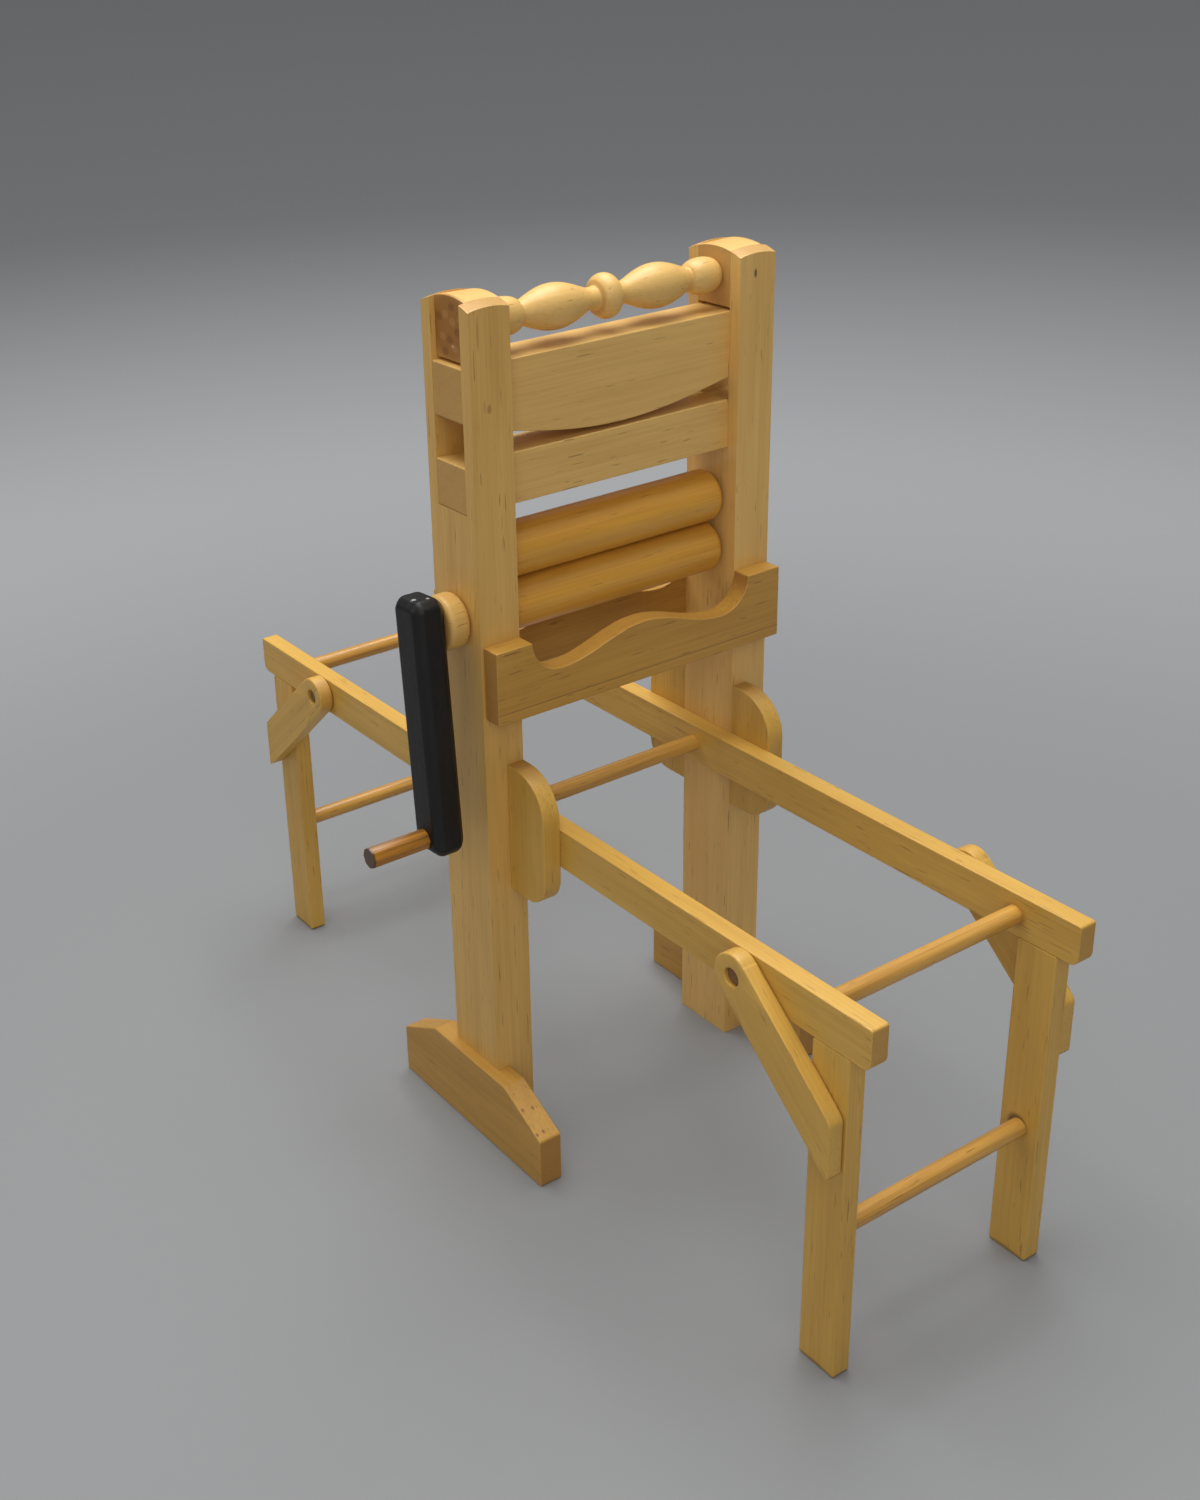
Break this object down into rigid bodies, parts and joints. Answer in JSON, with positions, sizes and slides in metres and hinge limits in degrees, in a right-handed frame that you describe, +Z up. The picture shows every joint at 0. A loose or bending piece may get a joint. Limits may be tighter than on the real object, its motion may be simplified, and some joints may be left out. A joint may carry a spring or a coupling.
{
  "type": "miniature laundry mangle",
  "caption": "Miniature wooden laundry mangle: rollers with a hand crank, a turned top spindle, and a braced bench on legs running front to back.",
  "frame": {"origin": "on the floor, under the middle of the whole assembly's box", "axes": "+X along the rollers, away from the crank; -Y towards the front of the bench; +Z up"},
  "size_m": [0.0708, 0.1462, 0.1285],
  "materials": {
    "pine": "satin varnish",
    "amber_dowel": "satin varnish",
    "varnished_roller": "satin varnish",
    "dark_peg": "stained",
    "black_paint": "semi-matte black paint"
  },
  "bodies": {
    "frame": {"left_upright": "pine", "right_upright": "pine", "left_foot": "pine", "right_foot": "pine", "top_spindle": "pine", "upper_board": "pine", "lower_board": "pine", "front_apron": "pine", "rear_apron": "pine", "left_rail": "pine", "right_rail": "pine", "left_front_bracket": "pine", "right_front_bracket": "pine", "left_rear_bracket": "pine", "right_rear_bracket": "pine", "left_front_leg": "pine", "right_front_leg": "pine", "left_rear_leg": "pine", "right_rear_leg": "pine", "centre_stretcher": "amber_dowel", "front_upper_stretcher": "amber_dowel", "rear_upper_stretcher": "amber_dowel", "front_lower_stretcher": "amber_dowel", "rear_lower_stretcher": "amber_dowel", "brace_pegs": "dark_peg"},
    "crank": {"lower_roller": "varnished_roller", "crank_axle": "dark_peg", "crank_boss": "pine", "crank_arm": "black_paint", "crank_handle": "amber_dowel"},
    "upper_roller": {"upper_roller": "varnished_roller", "upper_axle": "dark_peg"},
    "left_front_brace": {"left_front_brace": "pine"},
    "right_front_brace": {"right_front_brace": "pine"},
    "left_rear_brace": {"left_rear_brace": "pine"},
    "right_rear_brace": {"right_rear_brace": "pine"}
  },
  "joints": [
    {"name": "crank_spin", "type": "hinge", "parent": "frame", "child": "crank", "pos_m": [0.00797, 0, 0.0843], "axis": [1, 0, 0], "continuous": true},
    {"name": "upper_roller_spin", "type": "hinge", "parent": "frame", "child": "upper_roller", "pos_m": [0.00797, 0, 0.0921], "axis": [1, 0, 0], "continuous": true},
    {"name": "left_front_brace_pivot", "type": "hinge", "parent": "frame", "child": "left_front_brace", "pos_m": [-0.01263, -0.0519, 0.0522], "axis": [1, 0, 0], "range_deg": [0, 138]},
    {"name": "right_front_brace_pivot", "type": "hinge", "parent": "frame", "child": "right_front_brace", "pos_m": [0.02857, -0.0519, 0.0522], "axis": [1, 0, 0], "range_deg": [0, 138]},
    {"name": "left_rear_brace_pivot", "type": "hinge", "parent": "frame", "child": "left_rear_brace", "pos_m": [-0.01263, 0.0519, 0.0522], "axis": [-1, 0, 0], "range_deg": [0, 138]},
    {"name": "right_rear_brace_pivot", "type": "hinge", "parent": "frame", "child": "right_rear_brace", "pos_m": [0.02857, 0.0519, 0.0522], "axis": [-1, 0, 0], "range_deg": [0, 138]}
  ],
  "couplings": [
    {"joint": "upper_roller_spin", "follows": "crank_spin", "ratio": -1}
  ]
}
